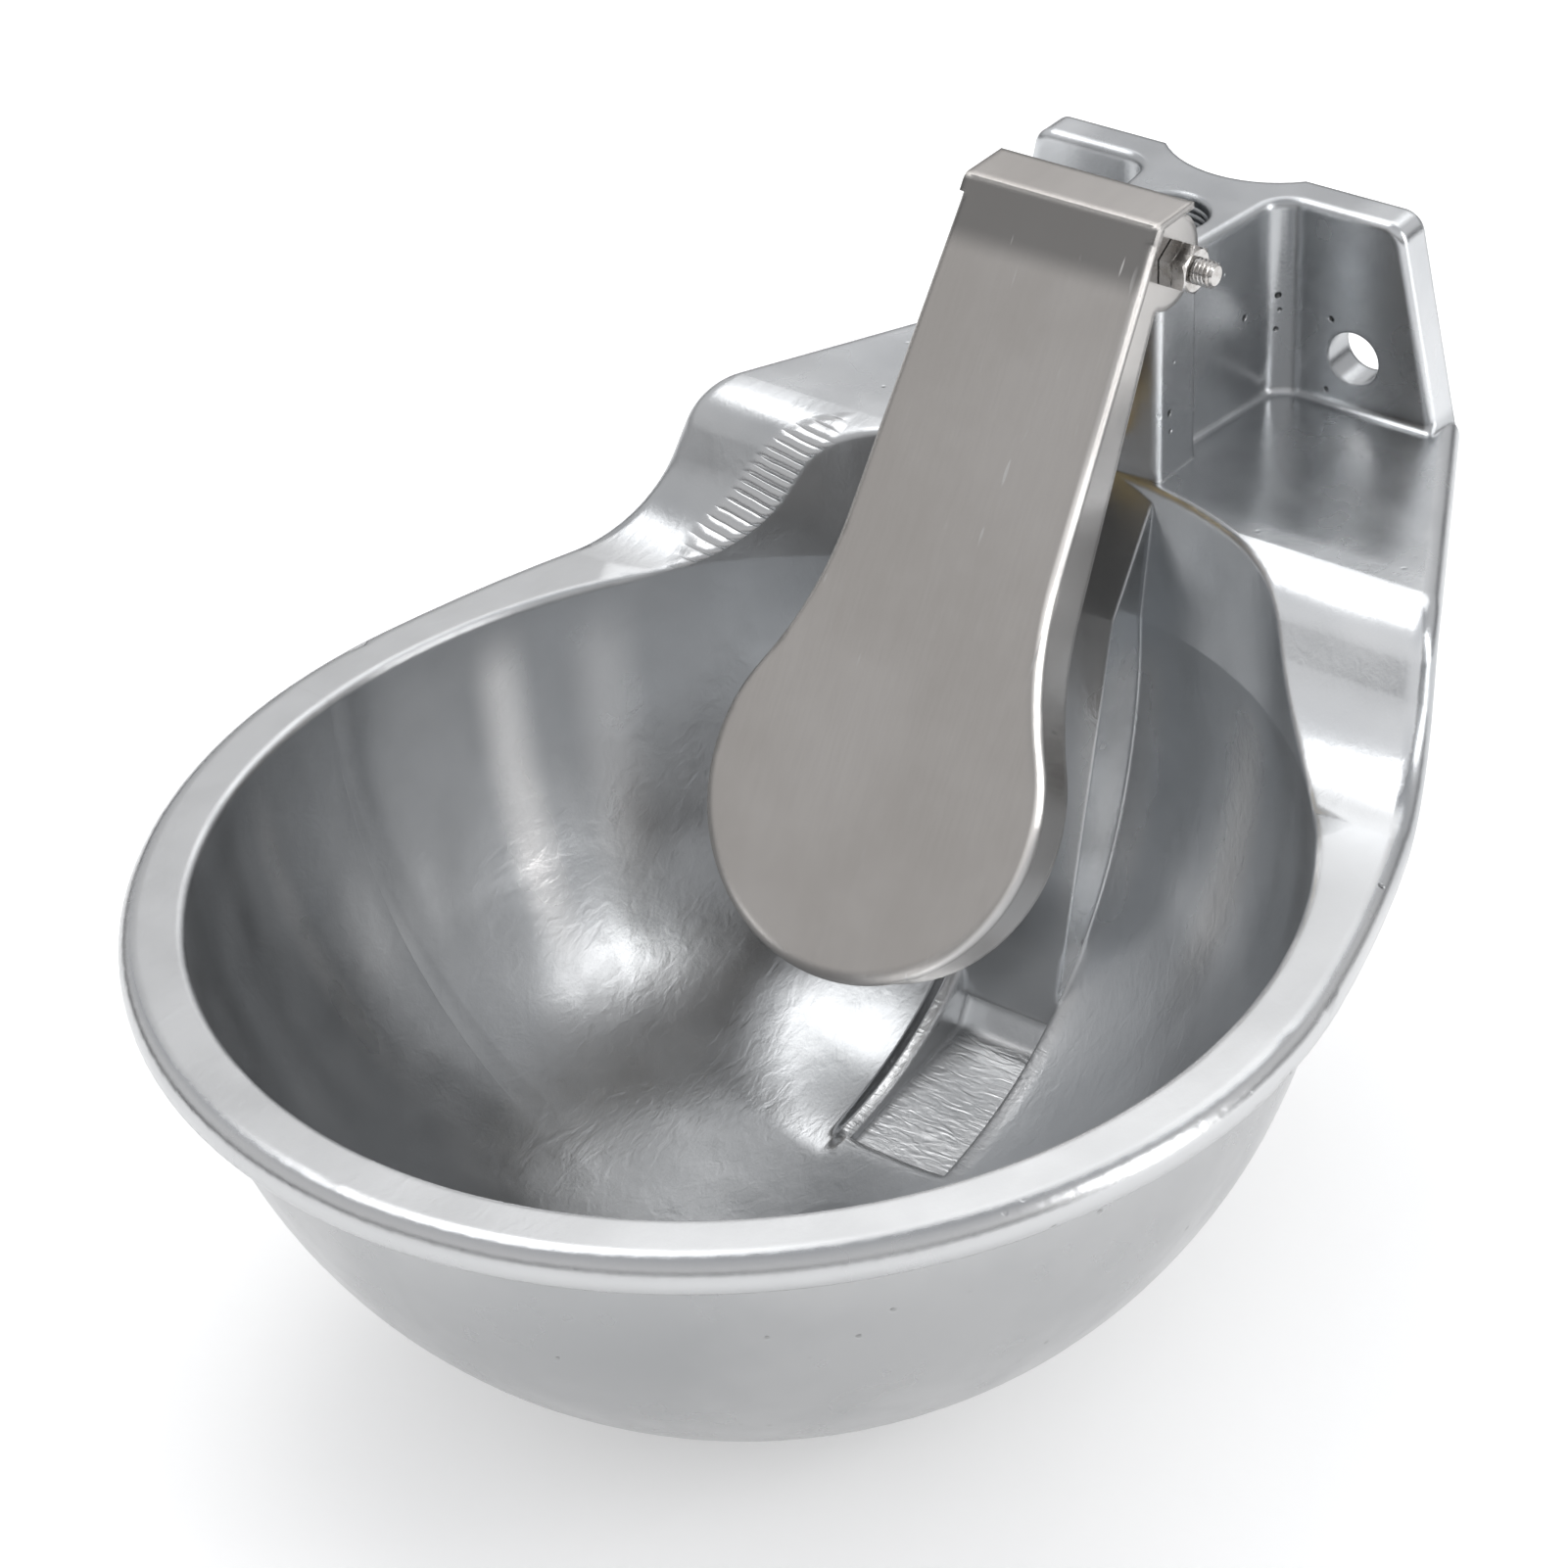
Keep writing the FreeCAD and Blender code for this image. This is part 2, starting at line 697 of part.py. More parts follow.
def pivot_washers():
    """Spacer rings that centre the tongue's ears on the lug."""
    rings = []
    for x in (-(tongue_half_top - sheet - side_play), column_half):
        ring = Part.makeCylinder(washer_outside / 2, washer_thickness, V(x, pivot_y, pivot_z), X)
        hole = Part.makeCylinder(bolt_diameter / 2 + running, FAR, V(x - FAR / 2, pivot_y, pivot_z), X)
        rings.append(ring.cut(hole))
    return Part.makeCompound(rings)


def valve_body():
    """Brass body: hex collar, outlet nose with ports, threaded shank, windowed sleeve and seat."""
    collar_y = column_y - gasket_thickness
    nose_root = collar_y - hex_height
    tip = nose_root - nose_length
    shape = hexagon(hex_width, V(0, collar_y, valve_z), -Y, hex_height)
    shape = shape.fuse(rod(valve_thread, collar_y, valve_inner_y))
    shape = shape.fuse(rod(sleeve_diameter, valve_inner_y, sleeve_end_y))
    shape = shape.fuse(rod(nose_diameter, nose_root, tip))
    shape = shape.cut(rod(stem_diameter + 2 * running, tip, seat_y))
    shape = shape.cut(rod(chamber_bore, tip + nose_guide_length, seat_y))
    shape = shape.cut(rod(sleeve_bore, seat_y, sleeve_end_y))
    shape = shape.fuse(ring(chamber_bore + 2 * seat_lip, chamber_bore, seat_y, seat_y + seat_lip))
    port_y = tip + nose_guide_length + port_diameter
    for turn in range(60, 360, 120):
        port = Part.makeCylinder(port_diameter / 2, nose_diameter, V(0, port_y, valve_z), Z)
        port.rotate(V(0, port_y, valve_z), Y, turn)
        shape = shape.cut(port)
    for turn in range(0, 360, 90):
        window = Part.makeBox(window_width, window_length, nose_diameter,
                              V(-window_width / 2, window_y, valve_z))
        window.rotate(V(0, window_y, valve_z), Y, turn)
        shape = shape.cut(window)
    return shape.removeSplitter()


def ring(outside, inside, start, end):
    """Round ring on the valve axis."""
    return rod(outside, start, end).cut(rod(inside, start, end))


def body_gasket():
    return ring(hex_width, valve_thread + 2 * thread_gap, column_y, column_y - gasket_thickness)


def valve_stem():
    """Stem with a round nose for the tongue, a collar in front of the seal and a groove for the clip."""
    shape = rod(stem_diameter, stem_nose_y, clip_y + clip_thickness + stem_tail)
    shape = shape.fuse(Part.makeSphere(stem_radius, V(0, stem_nose_y, valve_z)))
    shape = shape.fuse(rod(stem_diameter + 2 * collar_border, seal_y - collar_length, seal_y))
    groove = ring(2 * stem_diameter, stem_diameter - 2 * clip_groove, clip_y, clip_y + clip_thickness)
    return shape.cut(groove).removeSplitter()


def seal_disc():
    return ring(seal_diameter, stem_diameter, seal_y, seal_y + seal_thickness)


def seal_cup():
    """Brass cup washer that backs the rubber and carries the spring."""
    back = seal_y + seal_thickness
    return ring(seal_diameter, stem_diameter, back, back + cup_thickness)


def stem_clip():
    """Retaining ring in the stem's groove, open on one side."""
    outside = stem_diameter + 2 * clip_border
    shape = ring(outside, stem_diameter - 2 * clip_groove, clip_y, clip_y + clip_thickness)
    mouth = V(-clip_opening / 2, clip_y, valve_z)
    return shape.cut(Part.makeBox(clip_opening, clip_thickness, outside, mouth))


def valve_spring():
    """Round wire compression spring between the cup and the retainer, each half turn a bent round bar."""
    start = clip_y + spring_wire / 2
    half_turns = round(2 * spring_coils)
    step = (retainer_y - spring_wire / 2 - start) / half_turns
    bars = []
    for i in range(half_turns):
        side = 1 if i % 2 == 0 else -1
        first = V(side * spring_diameter / 2, start + i * step, valve_z)
        centre = V(0, start + (i + 0.5) * step, valve_z)
        section = Part.Face(Part.Wire(Part.makeCircle(spring_wire / 2, first, Z)))
        bars.append(section.revolve(centre, (first - centre).cross(Z * side), 180))
    return bars[0].multiFuse(bars[1:])


def spring_retainer():
    """Threaded ring that closes the sleeve and seats the spring."""
    return ring(sleeve_bore - 2 * thread_gap, retainer_bore, retainer_y, retainer_y + retainer_thickness)


def inlet_strainer():
    """Small cup sieve that rests on the step below the inlet thread."""
    floor = valve_z + sleeve_diameter / 2 + strainer_gap
    seat_z = inlet_step_z - strainer_thickness
    flange = inlet_lower_bore / 2 + strainer_ledge - side_play
    outside = inlet_lower_bore / 2 - strainer_space
    shape = Part.makeCylinder(flange, strainer_thickness, V(0, inlet_y, seat_z), Z)
    shape = shape.fuse(Part.makeCylinder(outside, seat_z - floor, V(0, inlet_y, floor), Z))
    bore = Part.makeCylinder(outside - strainer_wall, FAR, V(0, inlet_y, floor + strainer_wall), Z)
    shape = shape.cut(bore)
    low = floor + 2 * strainer_wall
    height = seat_z - strainer_wall - low
    for turn in range(0, 360, 45):
        side = inlet_y - strainer_slot / 2
        slot = Part.makeBox(outside, strainer_slot, height, V(strainer_wall, side, low))
        slot.rotate(V(0, inlet_y, 0), Z, turn)
        shape = shape.cut(slot)
    return shape.removeSplitter()


parts = {
    "bowl_casting": casting(),
    "tongue": tongue(),
    "pivot_bolt": pivot_bolt(),
    "pivot_nut": nut(nut_x),
    "pivot_lock_nut": nut(nut_x + nut_height),
    "pivot_washers": pivot_washers(),
    "valve_body": valve_body(),
    "body_gasket": body_gasket(),
    "valve_stem": valve_stem(),
    "seal_disc": seal_disc(),
    "seal_cup": seal_cup(),
    "stem_clip": stem_clip(),
    "valve_spring": valve_spring(),
    "spring_retainer": spring_retainer(),
    "inlet_strainer": inlet_strainer(),
}

os.makedirs("parts", exist_ok=True)
for name, shape in parts.items():
    shape.exportStep(os.path.join("parts", name + ".step"))
    print(name, len(shape.Solids), shape.isValid(), round(shape.Volume, 1))
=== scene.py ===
import math
from types import SimpleNamespace

import bmesh
import bpy
from mathutils import Matrix, Vector


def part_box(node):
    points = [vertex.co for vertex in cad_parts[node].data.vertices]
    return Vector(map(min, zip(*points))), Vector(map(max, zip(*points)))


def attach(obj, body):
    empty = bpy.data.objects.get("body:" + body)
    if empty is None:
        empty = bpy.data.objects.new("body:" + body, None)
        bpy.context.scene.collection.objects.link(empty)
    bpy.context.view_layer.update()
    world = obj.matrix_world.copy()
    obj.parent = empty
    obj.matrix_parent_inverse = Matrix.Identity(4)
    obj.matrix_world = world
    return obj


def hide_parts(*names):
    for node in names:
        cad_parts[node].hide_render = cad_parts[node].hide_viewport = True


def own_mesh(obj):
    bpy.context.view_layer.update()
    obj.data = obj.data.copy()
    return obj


# Looks of a cast aluminium livestock drinking bowl with a stainless tongue. Metres.
# +Z is up, +Y points into the wall, the bowl reaches out along -Y.

MM = 0.001

# Places taken from the object, in metres
RIM_Z = -0.045
SHOULDER_Z = -0.013
TOP_Z = 0.0355
BOWL_Y = -0.191
BOWL_HALF = 0.114
BOWL_REAR = 0.1265
PIVOT_Y = -0.0625
PIVOT_Z = 0.0436
INLET_Y = -0.0288
RIB_HALF = 0.0165
RECESS_Z = -0.124

# Bright streaks painted on the inner wall where the photo shows highlights:
# place round the bowl's axis and half width, in radians, and strength
HIGHLIGHT_STREAKS = (
    (2.725, 0.085, 1.0),
    (2.50, 0.10, 0.45),
    (-2.875, 0.06, 0.5),
    (1.12, 0.10, 1.0),
    (1.42, 0.07, 0.9),
)

# Grinding marks on the left step: the way they follow each other, and their spacing
CHATTER_WAY = (0.14, 0.41, 0.90)
CHATTER_PITCH = 5.0 * MM

# Waves of the brass's tool rings, in radians per metre
TOOL_RINGS = 24000.0

# Camera: a long lens, turned to the right of the bowl and looking down on it
CAMERA_PLACE = Vector((502.7, -832.5, 513.8)) * MM
CAMERA_TURN = math.radians(37.4)
CAMERA_DROP = math.radians(33.49)
CAMERA_ROLL = math.radians(-2.5)
PHOTO_SIZE = 1601
FOCAL_PIXELS = 4852.6
CENTRE_PIXEL = (806.4, 795.8)
SENSOR = 36.0

# Soft boxes of the studio, aimed at the bowl: place and size in metres, and power in watts
AIM = (0.0, -0.16, -0.05)
LIGHTS = {
    "right_box": ((1.35, 0.20, 0.42), (0.35, 1.1), 7.5),
    "top_box": ((-0.65, -0.05, 1.50), (0.9, 0.7), 7.0),
    "back_box": ((-0.30, 1.00, 1.40), (1.5, 0.9), 6.0),
}

# Light of the room by the rise of a direction: 0 is level and below, 1 is straight up
ROOM_LEVEL = (0.10, 0.10, 0.11, 1.0)
ROOM = ((0.07, 0.16), (0.22, 0.80), (0.55, 0.80))
ROOM_ABOVE = (0.60, 0.61, 0.63, 1.0)

# Round floor: its radius in metres and its corners
FLOOR_REACH = 2.0
FLOOR_CORNERS = 96


class Graph:
    """One material's nodes, with short calls for the ones used here."""

    def __init__(self, name, metallic=0.0, roughness=0.5):
        self.material = bpy.data.materials.new(name)
        self.material.use_nodes = True
        self.tree = self.material.node_tree
        self.shader = self.tree.nodes["Principled BSDF"]
        self.shader.inputs["Metallic"].default_value = metallic
        self.shader.inputs["Roughness"].default_value = roughness
        self.place = self.add("ShaderNodeTexCoord").outputs["Object"]
        self.facing = self.add("ShaderNodeNewGeometry").outputs["Normal"]

    def add(self, kind):
        return self.tree.nodes.new(kind)

    def feed(self, socket, value):
        if isinstance(value, bpy.types.NodeSocket):
            self.tree.links.new(value, socket)
        else:
            socket.default_value = value

    def set(self, name, value):
        self.feed(self.shader.inputs[name], value)

    def math(self, operation, first, second=0.0):
        node = self.add("ShaderNodeMath")
        node.operation = operation
        self.feed(node.inputs[0], first)
        self.feed(node.inputs[1], second)
        return node.outputs[0]

    def product(self, *factors):
        """All the factors multiplied together."""
        result = factors[0]
        for factor in factors[1:]:
            result = self.math("MULTIPLY", result, factor)
        return result

    def split(self, vector):
        node = self.add("ShaderNodeSeparateXYZ")
        self.feed(node.inputs[0], vector)
        return node.outputs

    def join(self, x, y, z):
        node = self.add("ShaderNodeCombineXYZ")
        for socket, value in zip(node.inputs, (x, y, z)):
            self.feed(socket, value)
        return node.outputs[0]

    def stretch(self, vector, factors):
        node = self.add("ShaderNodeVectorMath")
        node.operation = "MULTIPLY"
        self.feed(node.inputs[0], vector)
        node.inputs[1].default_value = factors
        return node.outputs[0]

    def shift(self, vector, offset):
        node = self.add("ShaderNodeVectorMath")
        node.operation = "ADD"
        self.feed(node.inputs[0], vector)
        node.inputs[1].default_value = offset
        return node.outputs[0]

    def length(self, vector):
        node = self.add("ShaderNodeVectorMath")
        node.operation = "LENGTH"
        self.feed(node.inputs[0], vector)
        return node.outputs["Value"]

    def noise(self, scale, vector=None, detail=3.0, roughness=0.5, distortion=0.0):
        node = self.add("ShaderNodeTexNoise")
        self.feed(node.inputs["Vector"], self.place if vector is None else vector)
        node.inputs["Scale"].default_value = scale
        node.inputs["Detail"].default_value = detail
        node.inputs["Roughness"].default_value = roughness
        node.inputs["Distortion"].default_value = distortion
        return node.outputs["Fac"]

    def cells(self, scale):
        node = self.add("ShaderNodeTexVoronoi")
        self.feed(node.inputs["Vector"], self.place)
        node.inputs["Scale"].default_value = scale
        return node.outputs["Distance"]

    def band(self, value, low, high, start=0.0, end=1.0):
        """Smooth change from start to end while the value goes from low to high."""
        node = self.add("ShaderNodeMapRange")
        node.interpolation_type = "SMOOTHSTEP"
        self.feed(node.inputs["Value"], value)
        node.inputs["From Min"].default_value = low
        node.inputs["From Max"].default_value = high
        node.inputs["To Min"].default_value = start
        node.inputs["To Max"].default_value = end
        return node.outputs["Result"]

    def blend(self, factor, first, second):
        node = self.add("ShaderNodeMix")
        node.data_type = "RGBA"
        self.feed(node.inputs[0], factor)
        self.feed(node.inputs[6], first)
        self.feed(node.inputs[7], second)
        return node.outputs[2]

    def soft_edges(self, radius):
        """Normal that rounds the look of sharp edges."""
        node = self.add("ShaderNodeBevel")
        node.samples = 4
        self.feed(node.inputs["Radius"], radius)
        return node.outputs["Normal"]

    def bump(self, height, distance, under=None, strength=1.0):
        node = self.add("ShaderNodeBump")
        self.feed(node.inputs["Height"], height)
        node.inputs["Distance"].default_value = distance
        self.feed(node.inputs["Strength"], strength)
        if under is not None:
            self.feed(node.inputs["Normal"], under)
        return node.outputs["Normal"]


def grey(value, warm=0.0):
    """Colour of a metal from its lightness, tinted warm or cool."""
    return (value * (1 + warm), value, value * (1 - warm), 1.0)


def casting_zones(g):
    """Parts of the casting that look different, each 0 to 1, told apart by place and by facing."""
    x, y, z = g.split(g.place)
    nx, ny, nz = g.split(g.facing)
    across = g.math("ABSOLUTE", x)
    zones = SimpleNamespace()

    # Cylinder coordinates round the bowl's axis
    zones.out_y = g.math("SUBTRACT", y, BOWL_Y)
    zones.angle = g.math("ARCTAN2", zones.out_y, x)
    radius = g.length(g.join(x, zones.out_y, 0.0))
    outward = g.math("ADD", g.product(nx, x), g.product(ny, zones.out_y))
    outward = g.math("DIVIDE", outward, radius)
    outer = g.band(outward, 0.0, 0.2)

    # Bowl: inner wall and floor, flat top of the rim, rolled bead, and the skin below it
    wall = g.product(g.band(outward, 0.05, -0.15), g.band(y, -0.05, -0.064))
    floor = g.product(g.band(nz, 0.55, 0.85), g.band(z, RIM_Z - 0.03, RIM_Z - 0.06))
    zones.inside = g.math("MAXIMUM", wall, floor)
    level = g.band(nz, 0.93, 0.99)
    zones.flat = g.product(level, g.band(z, RIM_Z - 0.002, RIM_Z), g.band(z, RIM_Z + 0.006, RIM_Z + 0.002))
    rolled = g.product(g.band(z, RIM_Z - 0.012, RIM_Z - 0.009), g.band(z, RIM_Z, RIM_Z - 0.001))
    zones.bead = g.product(rolled, outer, g.band(y, -0.110, -0.140))
    zones.bowl_skin = g.product(g.band(z, RIM_Z - 0.004, RIM_Z - 0.012), outer)

    # Recess under the rib, its ramp, and a patch to its left. The solid has no hollow there: the bump
    # only tilts the shading, so that a highlight falls where the photo shows one
    middle = g.band(across, RIB_HALF + 0.002, RIB_HALF - 0.001)
    zones.recess = g.product(middle, g.band(z, RECESS_Z + 0.004, RECESS_Z - 0.004), g.band(y, -0.146, -0.139))
    zones.ramp = g.product(zones.recess, g.band(nz, 0.6, 0.9))
    beside = g.product(g.band(x, -0.058, -0.016), g.band(x, -RIB_HALF + 0.003, -RIB_HALF))
    low_rear = g.product(g.band(y, -0.150, -0.118), g.band(z, -0.115, -0.132))
    zones.climb = g.product(beside, low_rear, g.band(zones.recess, 1.0, 0.0))

    # Shoulder, the wings above it, and the front face of the valve's column
    zones.wings = g.product(g.band(z, SHOULDER_Z, SHOULDER_Z + 0.004), g.band(y, -0.07, -0.055))
    zones.wing_face = g.product(zones.wings, g.band(across, 0.032, 0.042))
    top = g.product(g.band(nz, 0.5, 0.8), g.band(z, SHOULDER_Z - 0.012, SHOULDER_Z - 0.004))
    zones.shoulder = g.product(top, g.band(zones.wings, 1.0, 0.0))
    front = g.product(g.band(y, -0.030, -0.036), g.band(ny, -0.6, -0.9))
    zones.column = g.product(front, g.band(z, SHOULDER_Z + 0.001, SHOULDER_Z + 0.003))
    return zones


def painted_highlight_streaks(g, zones):
    """Painted highlights down the inner wall, each a place round the axis, a half width and a strength."""
    z = g.split(g.place)[2]
    total = 0.0
    for place, width, strength in HIGHLIGHT_STREAKS:
        away = g.math("ABSOLUTE", g.math("SUBTRACT", zones.angle, place))
        total = g.math("ADD", total, g.product(g.band(away, width, 0.0), strength))
    return g.product(total, zones.inside, g.band(z, -0.130, -0.100), g.band(z, RIM_Z, RIM_Z - 0.02))


def casting_pits(g, zones):
    """Small pits in loose groups, mostly on the wings, and none inside the bowl or on the flat rim."""
    groups = g.band(g.noise(45.0, detail=1.0), 0.56, 0.66)
    pits = g.product(g.band(g.cells(170.0), 0.16, 0.06), groups)
    smooth = g.band(g.math("MAXIMUM", zones.inside, zones.flat), 1.0, 0.0)
    return g.product(pits, g.band(zones.wings, 0.0, 1.0, 0.35, 1.0), smooth)


def grinder_chatter(g, zones):
    """The band that the grinder left along the left step's edge, and the marks across it."""
    x, y, _ = g.split(g.place)
    nz = g.split(g.facing)[2]
    from_edge = g.length(g.stretch(g.join(x, zones.out_y, 0.0), (1 / BOWL_HALF, 1 / BOWL_REAR, 0.0)))
    ground = g.product(g.band(from_edge, 0.985, 1.0), g.band(from_edge, 1.085, 1.065))
    ground = g.product(ground, g.band(x, -0.087, -0.082), g.band(x, -0.056, -0.060))
    ground = g.product(ground, g.band(nz, 0.15, 0.35), g.band(y, -0.125, -0.115))
    steps = g.split(g.stretch(g.place, CHATTER_WAY))
    run = g.math("ADD", g.math("ADD", steps[0], steps[1]), steps[2])
    run = g.math("ADD", run, g.product(g.noise(120.0, detail=1.0), 0.8 * MM))
    wave = g.math("SINE", g.product(run, 2 * math.pi / CHATTER_PITCH))
    return ground, g.product(g.math("POWER", g.math("ABSOLUTE", wave), 0.6), ground)


def casting_relief(g, zones, pits, chatter):
    """Normal of the casting's skin: rounded small edges, swells, hammered hollows, streaks and marks."""
    z = g.split(g.place)[2]
    hammered = g.stretch(g.place, (1.3, 0.6, 0.8))
    hammered = g.noise(280.0, hammered, detail=2.0, roughness=0.55, distortion=0.8)
    around = g.join(g.product(zones.angle, 2.2), g.product(z, 7.0), 0.0)
    streaks = g.noise(1.0, around, detail=1.5, roughness=0.4, distortion=0.2)
    streaks = g.product(streaks, g.band(z, -0.140, -0.105), zones.inside)
    ridges = g.noise(330.0, g.stretch(g.place, (0.45, 1.5, 1.0)), detail=1.0, distortion=1.2)
    edge = g.band(zones.recess, 0.0, 1.0, 1.3 * MM, 2.8 * MM)
    edge = g.math("ADD", edge, g.product(zones.column, 3.0 * MM))
    normal = g.bump(g.noise(26.0, detail=1.0, roughness=0.4), 0.8 * MM, g.soft_edges(edge))
    normal = g.bump(zones.climb, 9.0 * MM, normal)
    normal = g.bump(streaks, 6.0 * MM, normal)
    normal = g.bump(hammered, 0.07 * MM, normal, g.band(zones.inside, 0.0, 1.0, 0.30, 1.0))
    normal = g.bump(g.noise(1500.0, detail=4.0, roughness=0.6), 0.02 * MM, normal)
    normal = g.bump(g.product(ridges, zones.ramp), 0.14 * MM, normal)
    normal = g.bump(g.math("SUBTRACT", 1.0, pits), 0.6 * MM, normal)
    return g.bump(chatter, 0.35 * MM, normal)


def casting_tone(g, zones, pits, ground, painted_highlights):
    """Lightness of the casting: cool grey, blotched a little. The lighter right half inside, column front,
    shoulder, wings, bead and streaks are painted to match the photo's light, and aren't other metal."""
    x, _, z = g.split(g.place)
    blotch = g.band(g.noise(14.0, detail=4.0, roughness=0.6), 0.35, 0.65)
    right = g.band(x, -0.01, 0.03)
    tone = g.blend(blotch, grey(0.41, -0.030), grey(0.47, -0.022))
    tone = g.blend(zones.bowl_skin, tone, g.blend(blotch, grey(0.41, -0.015), grey(0.47, -0.008)))
    # Painted light: the bead, shoulder, wing faces and the column's front are painted lighter than the skin
    tone = g.blend(zones.bead, tone, grey(0.56, -0.010))
    tone = g.blend(zones.shoulder, tone, g.blend(blotch, grey(0.50, -0.025), grey(0.56, -0.018)))
    tone = g.blend(zones.wing_face, tone, g.blend(blotch, grey(0.58, -0.025), grey(0.66, -0.018)))
    tone = g.blend(zones.column, tone, grey(0.90, 0.005))
    # Painted light: the right half of the inside is painted much lighter than the left
    dull = g.blend(right, grey(0.46, -0.022), grey(0.76, -0.020))
    bright = g.blend(right, grey(0.54, -0.016), grey(0.86, -0.014))
    tone = g.blend(zones.inside, tone, g.blend(blotch, dull, bright))
    tone = g.blend(zones.flat, tone, grey(0.50, -0.010))
    # Painted light: the recess under the rib and its ramp are painted lighter
    tone = g.blend(zones.recess, tone, grey(0.72, -0.008))
    tone = g.blend(ground, tone, grey(0.52, -0.010))
    # Painted shade: the casting is painted darker towards its bottom
    tone = g.blend(g.band(z, -0.120, -0.158, 1.0, 0.84), grey(0.0), tone)
    # Painted highlights: streaks down the inner wall, painted near white
    tone = g.blend(painted_highlights, tone, grey(0.86, 0.012))
    return g.blend(pits, tone, grey(0.10, 0.02))


def cast_aluminium():
    """Tumbled casting: satin rim, painted highlight streaks inside, pitted wings, grinder's marks on the step.
    """
    g = Graph("cast_aluminium", metallic=1.0)
    zones = casting_zones(g)
    painted_highlights = painted_highlight_streaks(g, zones)
    pits = casting_pits(g, zones)
    ground, chatter = grinder_chatter(g, zones)
    g.set("Normal", casting_relief(g, zones, pits, chatter))
    g.set("Base Color", casting_tone(g, zones, pits, ground, painted_highlights))
    rough = g.band(g.noise(60.0, detail=3.0), 0.3, 0.7, 0.21, 0.28)
    rough = g.math("ADD", rough, g.product(zones.flat, 0.08))
    rough = g.math("ADD", rough, g.product(zones.inside, 0.07))
    rough = g.math("ADD", rough, g.product(g.math("MAXIMUM", chatter, painted_highlights), -0.08))
    g.set("Roughness", rough)
    return g.material


def stainless():
    """Warm grey sheet, finely ground along its length, with a few faint scratches. Its light right side
    and the dark band under the fold are painted to match the photo's light."""
    g = Graph("stainless", metallic=1.0)
    along = g.stretch(g.place, (1.0, 0.05, 0.05))
    grind = g.noise(1400.0, along, detail=2.0, roughness=0.5)
    dents = g.noise(22.0, detail=1.0)
    scuffs = g.noise(90.0, g.stretch(g.shift(g.place, (0.31, 0.12, 0.07)), (6.0, 1.0, 0.7)), detail=1.0)
    scuffs = g.product(g.band(scuffs, 0.72, 0.78), g.band(g.noise(30.0, detail=0.0), 0.55, 0.62))
    cloud = g.band(g.noise(20.0, detail=4.0, roughness=0.6), 0.35, 0.65)
    tone = g.blend(cloud, grey(0.38, 0.050), grey(0.42, 0.042))
    tone = g.blend(g.band(grind, 0.35, 0.65, 0.0, 0.03), tone, grey(0.25, 0.05))
    z = g.split(g.place)[2]
    nx, ny, _ = g.split(g.facing)
    # Painted light: faces turned to the right are painted lighter, lightest lower down
    side = g.blend(g.band(z, 0.025, 0.0), grey(0.50, 0.03), grey(0.90, 0.03))
    tone = g.blend(g.band(nx, 0.35, 0.7), tone, side)
    # Painted shade: a dark band across the front face just under the top fold
    fold = g.product(g.band(z, 0.0425, 0.0480), g.band(ny, -0.4, -0.7), 0.8)
    tone = g.blend(fold, tone, grey(0.16, 0.02))
    g.set("Base Color", g.blend(scuffs, tone, grey(0.50, 0.02)))
    g.set("Roughness", g.band(grind, 0.3, 0.7, 0.22, 0.27))
    g.set("Normal", g.bump(dents, 0.5 * MM, g.soft_edges(2.0 * MM)))
    return g.material


def plated_steel():
    """Bright plating on the small fasteners, dulled in patches."""
    g = Graph("plated_steel", metallic=1.0)
    film = g.band(g.noise(420.0, detail=3.0), 0.35, 0.7)
    g.set("Base Color", g.blend(film, grey(0.56, 0.02), grey(0.44, 0.05)))
    g.set("Roughness", g.band(film, 0.0, 1.0, 0.16, 0.30))
    g.set("Normal", g.bump(g.noise(1600.0, detail=2.0), 0.02 * MM))
    return g.material


def brass():
    """Turned brass with fine tool rings round the valve's axis and a slight tarnish."""
    g = Graph("brass", metallic=1.0)
    y = g.split(g.place)[1]
    rings = g.math("SINE", g.product(y, TOOL_RINGS))
    tarnish = g.band(g.noise(180.0, detail=4.0), 0.4, 0.7)
    g.set("Base Color", g.blend(tarnish, (0.74, 0.56, 0.26, 1.0), (0.50, 0.37, 0.18, 1.0)))
    g.set("Roughness", g.band(tarnish, 0.0, 1.0, 0.22, 0.42))
    g.set("Normal", g.bump(rings, 0.01 * MM))
    return g.material


def rubber():
    """Black sealing rubber with a dusty bloom."""
    g = Graph("rubber")
    bloom = g.band(g.noise(240.0, detail=4.0), 0.4, 0.7)
    g.set("Base Color", g.blend(bloom, grey(0.020), grey(0.045)))
    g.set("Roughness", g.band(bloom, 0.0, 1.0, 0.55, 0.75))
    g.set("Normal", g.bump(g.noise(1400.0, detail=2.0), 0.03 * MM))
    return g.material


def spring_steel():
    """Drawn stainless wire."""
    g = Graph("spring_steel", metallic=1.0)
    drawn = g.noise(900.0, g.stretch(g.place, (0.3, 1.0, 0.3)), detail=2.0)
    g.set("Base Color", g.blend(drawn, grey(0.45), grey(0.58)))
    g.set("Roughness", g.band(drawn, 0.3, 0.7, 0.20, 0.34))
    g.set("Normal", g.bump(drawn, 0.01 * MM))
    return g.material


def strainer_plastic():
    """Off-white moulded plastic."""
    g = Graph("strainer_plastic")
    mottle = g.noise(300.0, detail=3.0)
    g.set("Base Color", g.blend(mottle, (0.74, 0.72, 0.66, 1.0), (0.82, 0.80, 0.75, 1.0)))
    g.set("Roughness", g.band(mottle, 0.3, 0.7, 0.38, 0.50))
    g.set("Normal", g.bump(g.noise(900.0, detail=2.0), 0.02 * MM))
    return g.material


